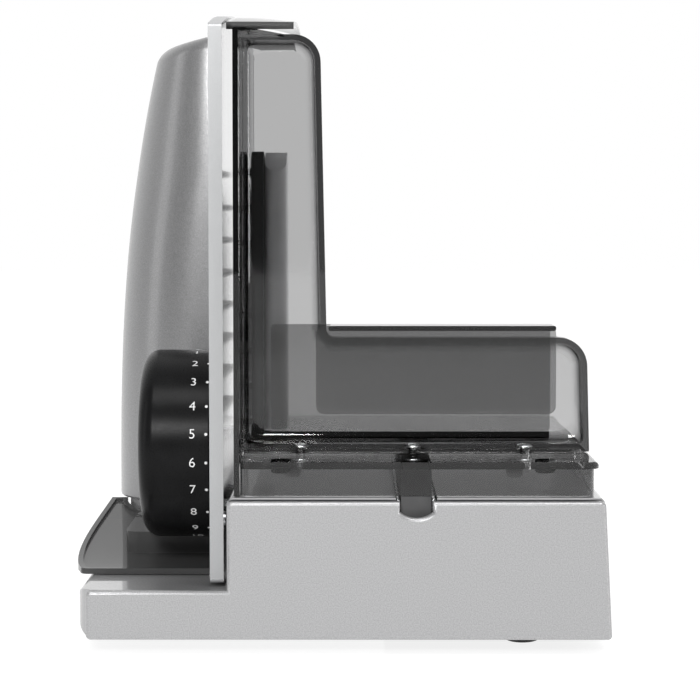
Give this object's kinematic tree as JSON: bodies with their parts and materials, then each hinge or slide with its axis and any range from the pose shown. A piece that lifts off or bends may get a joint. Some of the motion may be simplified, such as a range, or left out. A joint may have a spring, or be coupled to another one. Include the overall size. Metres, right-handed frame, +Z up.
{
  "type": "food slicer",
  "caption": "Household food slicer with a round blade, gauge plate with thickness dial, slice tray, and a clear sliding carriage with hand guard and remnant holder.",
  "frame": {"origin": "on the table, under the middle of the object's box", "axes": "+Z up; the user stands at -Y and the carriage travels towards +Y; the carriage is at +X and the dial and slice tray at -X"},
  "size_m": [0.256, 0.34, 0.3031],
  "materials": {
    "silver_paint": "fine metallic silver paint over a moulded shell, satin",
    "aluminium": "fine-blasted, anodised",
    "black_plastic": "satin moulded",
    "grey_plastic": "satin moulded",
    "smoke_clear": "polished clear plastic, smoke grey",
    "rubber": "soft, matt",
    "steel": "ground",
    "copper": "copper windings and brass",
    "nylon": "natural nylon"
  },
  "bodies": {
    "base": {"base_housing": "silver_paint", "base_front_panel": "silver_paint", "bottom_cover": "black_plastic", "foot_1": "rubber", "foot_2": "rubber", "foot_3": "rubber", "foot_4": "rubber", "carriage_rail": "black_plastic", "cord_gland": "rubber", "motor_housing": "silver_paint", "switch_body": "black_plastic", "start_spring": "steel", "lock_spring": "steel", "motor_field": "steel", "brush_holder_1": "copper", "brush_holder_2": "copper", "motor_bearing_lower": "steel", "motor_bearing_upper": "steel", "shaft_bearing_left": "steel", "shaft_bearing_right": "steel", "drive_frame": "aluminium", "gauge_guide": "nylon", "cam_pin": "steel"},
    "blade": {"blade": "steel", "blade_hub": "black_plastic", "blade_screw": "black_plastic", "blade_shaft": "steel", "worm_wheel": "nylon"},
    "rotor": {"motor_shaft": "steel", "armature": "copper", "commutator": "copper", "cooling_fan": "nylon", "worm": "steel"},
    "gauge": {"gauge_plate": "aluminium", "gauge_rod_1": "steel", "gauge_rod_2": "steel", "dial_spindle": "steel"},
    "dial": {"thickness_dial": "black_plastic", "dial_cam": "nylon"},
    "tray": {"slice_tray": "smoke_clear"},
    "carriage": {"carriage_body": "smoke_clear", "carriage_guide": "black_plastic", "glide_1": "black_plastic", "glide_2": "black_plastic", "glide_3": "black_plastic", "glide_4": "black_plastic", "carriage_wall": "smoke_clear", "wall_screw_1": "steel", "wall_screw_2": "steel", "wall_screw_3": "steel"},
    "holder": {"holder_hook": "smoke_clear", "pusher_plate": "black_plastic", "holder_grip": "grey_plastic"},
    "start_key": {"start_button": "black_plastic"},
    "lock_key": {"lock_button": "grey_plastic"}
  },
  "joints": [
    {"name": "carriage_slide", "type": "slide", "parent": "base", "child": "carriage", "axis": [0, 1, 0], "range_m": [0, 0.17]},
    {"name": "holder_slide", "type": "slide", "parent": "carriage", "child": "holder", "axis": [1, 0, 0], "range_m": [0, 0.08]},
    {"name": "gauge_slide", "type": "slide", "parent": "base", "child": "gauge", "axis": [-1, 0, 0], "range_m": [0, 0.02]},
    {"name": "dial_turn", "type": "hinge", "parent": "gauge", "child": "dial", "pos_m": [-0.0775, -0.105, 0.0916], "axis": [-1, 0, 0], "range_deg": [0, 340]},
    {"name": "motor_spin", "type": "hinge", "parent": "base", "child": "rotor", "pos_m": [-0.09, 0.0885, 0.125], "axis": [0, 0, 1], "continuous": true},
    {"name": "blade_spin", "type": "hinge", "parent": "base", "child": "blade", "pos_m": [-0.0527, 0.05, 0.167], "axis": [1, 0, 0], "continuous": true},
    {"name": "tray_slide", "type": "slide", "parent": "base", "child": "tray", "axis": [-1, 0, 0], "range_m": [0, 0.1]},
    {"name": "start_press", "type": "slide", "parent": "base", "child": "start_key", "axis": [1, 0, 0], "range_m": [0, 0.0035], "stiffness_N_per_m": 400, "deforming": ["start_spring"]},
    {"name": "lock_press", "type": "slide", "parent": "base", "child": "lock_key", "axis": [1, 0, 0], "range_m": [0, 0.003], "stiffness_N_per_m": 300, "deforming": ["lock_spring"]}
  ],
  "couplings": [
    {"joint": "gauge_slide", "follows": "dial_turn", "m_per_rad": 0.00337},
    {"joint": "blade_spin", "follows": "motor_spin", "ratio": 0.1}
  ]
}
